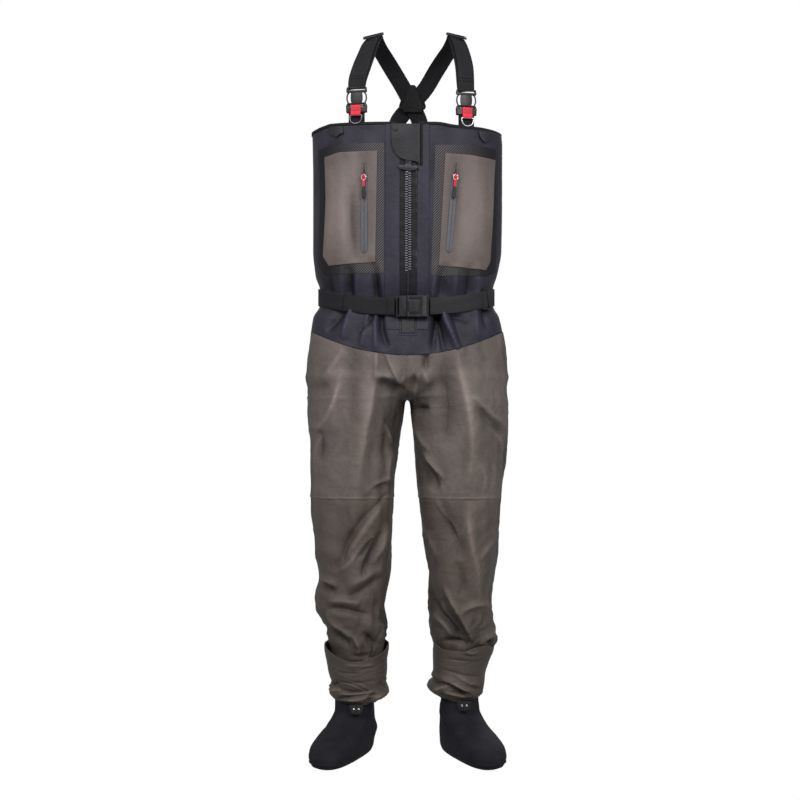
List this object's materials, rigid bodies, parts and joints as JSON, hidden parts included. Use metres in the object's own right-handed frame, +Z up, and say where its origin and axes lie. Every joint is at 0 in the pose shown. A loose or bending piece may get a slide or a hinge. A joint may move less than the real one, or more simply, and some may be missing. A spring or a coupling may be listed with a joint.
{
  "type": "chest waders",
  "caption": "Stocking-foot chest waders with a zip front, chest pockets, X-back suspenders, wading belt, gravel guards and neoprene feet.",
  "frame": {"origin": "on the garment's middle plane, level with the undersides of the two shoulder straps, where shoulders or a hanger carry the waders; the soles are 1.716 m below", "axes": "+Z up, the front faces -Y, the wearer's left is +X"},
  "size_m": [0.482, 0.3335, 1.7297],
  "materials": {
    "navy": "matt laminated shell fabric",
    "taupe": "matt laminated leg fabric",
    "pocket": "matt laminated pocket fabric",
    "webbing": "woven webbing",
    "plastic": "moulded acetal",
    "rubber": "coated fabric and rubber",
    "neoprene": "4 mm closed-cell neoprene with knit face",
    "zip": "coated waterproof zip",
    "strip": "coated reverse coil zip",
    "hatch": "printed grip fabric",
    "red": "red cord and webbing",
    "steel": "nickel-plated zinc",
    "gunmetal": "dark nickel"
  },
  "bodies": {
    "garment": {"belt_adjuster": "plastic", "belt_loop": "webbing", "belt_plug_run": "webbing", "belt_socket": "plastic", "belt_webbing": "webbing", "bib_shell": "navy", "cross_patch": "rubber", "flap_snap_socket": "plastic", "left_anchor_webbing": "webbing", "left_clip_socket": "plastic", "left_front_strap": "webbing", "left_gravel_guard": "taupe", "left_lower_leg": "taupe", "left_pocket_frame": "hatch", "left_pocket_panel": "pocket", "left_pocket_zip": "strip", "left_rear_strap": "webbing", "left_rim_tab": "rubber", "left_ring_keeper": "red", "left_sock": "neoprene", "left_strap_adjuster": "plastic", "left_thigh": "taupe", "left_zip_tape": "zip", "main_zip_chain": "plastic", "right_anchor_webbing": "webbing", "right_clip_socket": "plastic", "right_front_strap": "webbing", "right_gravel_guard": "taupe", "right_lower_leg": "taupe", "right_pocket_frame": "hatch", "right_pocket_panel": "pocket", "right_pocket_zip": "strip", "right_rear_strap": "webbing", "right_rim_tab": "rubber", "right_ring_keeper": "red", "right_sock": "neoprene", "right_strap_adjuster": "plastic", "right_thigh": "taupe", "right_zip_tape": "zip", "rim_binding": "webbing", "zip_docking_end": "rubber"},
    "main_zip_slider": {"main_zip_slider": "plastic"},
    "main_zip_handle": {"main_zip_handle": "rubber"},
    "storm_flap": {"storm_flap": "rubber", "flap_snap_cap": "plastic"},
    "belt_plug": {"belt_plug": "plastic"},
    "left_pocket_slider": {"left_pocket_slider": "steel"},
    "left_pocket_pull": {"left_pocket_pull": "red"},
    "left_clip_plug": {"left_clip_plug": "plastic"},
    "left_d_ring": {"left_d_ring": "steel"},
    "left_lace_hook": {"left_lace_hook": "rubber"},
    "right_pocket_slider": {"right_pocket_slider": "steel"},
    "right_pocket_pull": {"right_pocket_pull": "red"},
    "right_clip_plug": {"right_clip_plug": "plastic"},
    "right_d_ring": {"right_d_ring": "gunmetal"},
    "right_lace_hook": {"right_lace_hook": "rubber"}
  },
  "joints": [
    {"name": "main_zip_slide", "type": "slide", "parent": "garment", "child": "main_zip_slider", "axis": [0, 0, -1], "range_m": [0, 0.228]},
    {"name": "main_zip_handle_swing", "type": "hinge", "parent": "main_zip_slider", "child": "main_zip_handle", "pos_m": [0.002, -0.1341, -0.317], "axis": [-1, 0, 0], "range_deg": [0, 85]},
    {"name": "storm_flap_fold", "type": "hinge", "parent": "garment", "child": "storm_flap", "pos_m": [0.03, -0.1333, -0.274], "axis": [0, 0, 1], "range_deg": [0, 150]},
    {"name": "belt_release", "type": "slide", "parent": "garment", "child": "belt_plug", "axis": [-1, 0, 0], "range_m": [0, 0.045], "deforming": ["belt_plug_run"]},
    {"name": "left_pocket_zip_slide", "type": "slide", "parent": "garment", "child": "left_pocket_slider", "axis": [-0.0827, -0.0143, -0.9965], "range_m": [0, 0.162]},
    {"name": "left_pocket_pull_swing", "type": "hinge", "parent": "left_pocket_slider", "child": "left_pocket_pull", "pos_m": [0.11285, -0.12984, -0.3459], "axis": [-0.9769, -0.1963, 0.0839], "range_deg": [0, 120]},
    {"name": "right_pocket_zip_slide", "type": "slide", "parent": "garment", "child": "right_pocket_slider", "axis": [0, 0, -1], "range_m": [0, 0.162]},
    {"name": "right_pocket_pull_swing", "type": "hinge", "parent": "right_pocket_slider", "child": "right_pocket_pull", "pos_m": [-0.10122, -0.13161, -0.346], "axis": [-0.987, 0.161, 0], "range_deg": [0, 120]},
    {"name": "left_clip_release", "type": "slide", "parent": "garment", "child": "left_clip_plug", "axis": [0, 0, 1], "range_m": [0, 0.03], "deforming": ["left_front_strap"]},
    {"name": "left_d_ring_swing", "type": "hinge", "parent": "garment", "child": "left_d_ring", "pos_m": [0.14078, -0.11098, -0.2095], "axis": [-0.9553, -0.2955, 0], "range_deg": [0, 110]},
    {"name": "left_lace_hook_lift", "type": "hinge", "parent": "garment", "child": "left_lace_hook", "pos_m": [0.135, -0.066, -1.579], "axis": [-1, 0, 0], "range_deg": [0, 60]},
    {"name": "right_clip_release", "type": "slide", "parent": "garment", "child": "right_clip_plug", "axis": [0, 0, 1], "range_m": [0, 0.03], "deforming": ["right_front_strap"]},
    {"name": "right_d_ring_swing", "type": "hinge", "parent": "garment", "child": "right_d_ring", "pos_m": [-0.12005, -0.11757, -0.2045], "axis": [-0.9759, 0.2182, 0], "range_deg": [0, 110]},
    {"name": "right_lace_hook_lift", "type": "hinge", "parent": "garment", "child": "right_lace_hook", "pos_m": [-0.12, -0.066, -1.588], "axis": [-1, 0, 0], "range_deg": [0, 60]}
  ]
}
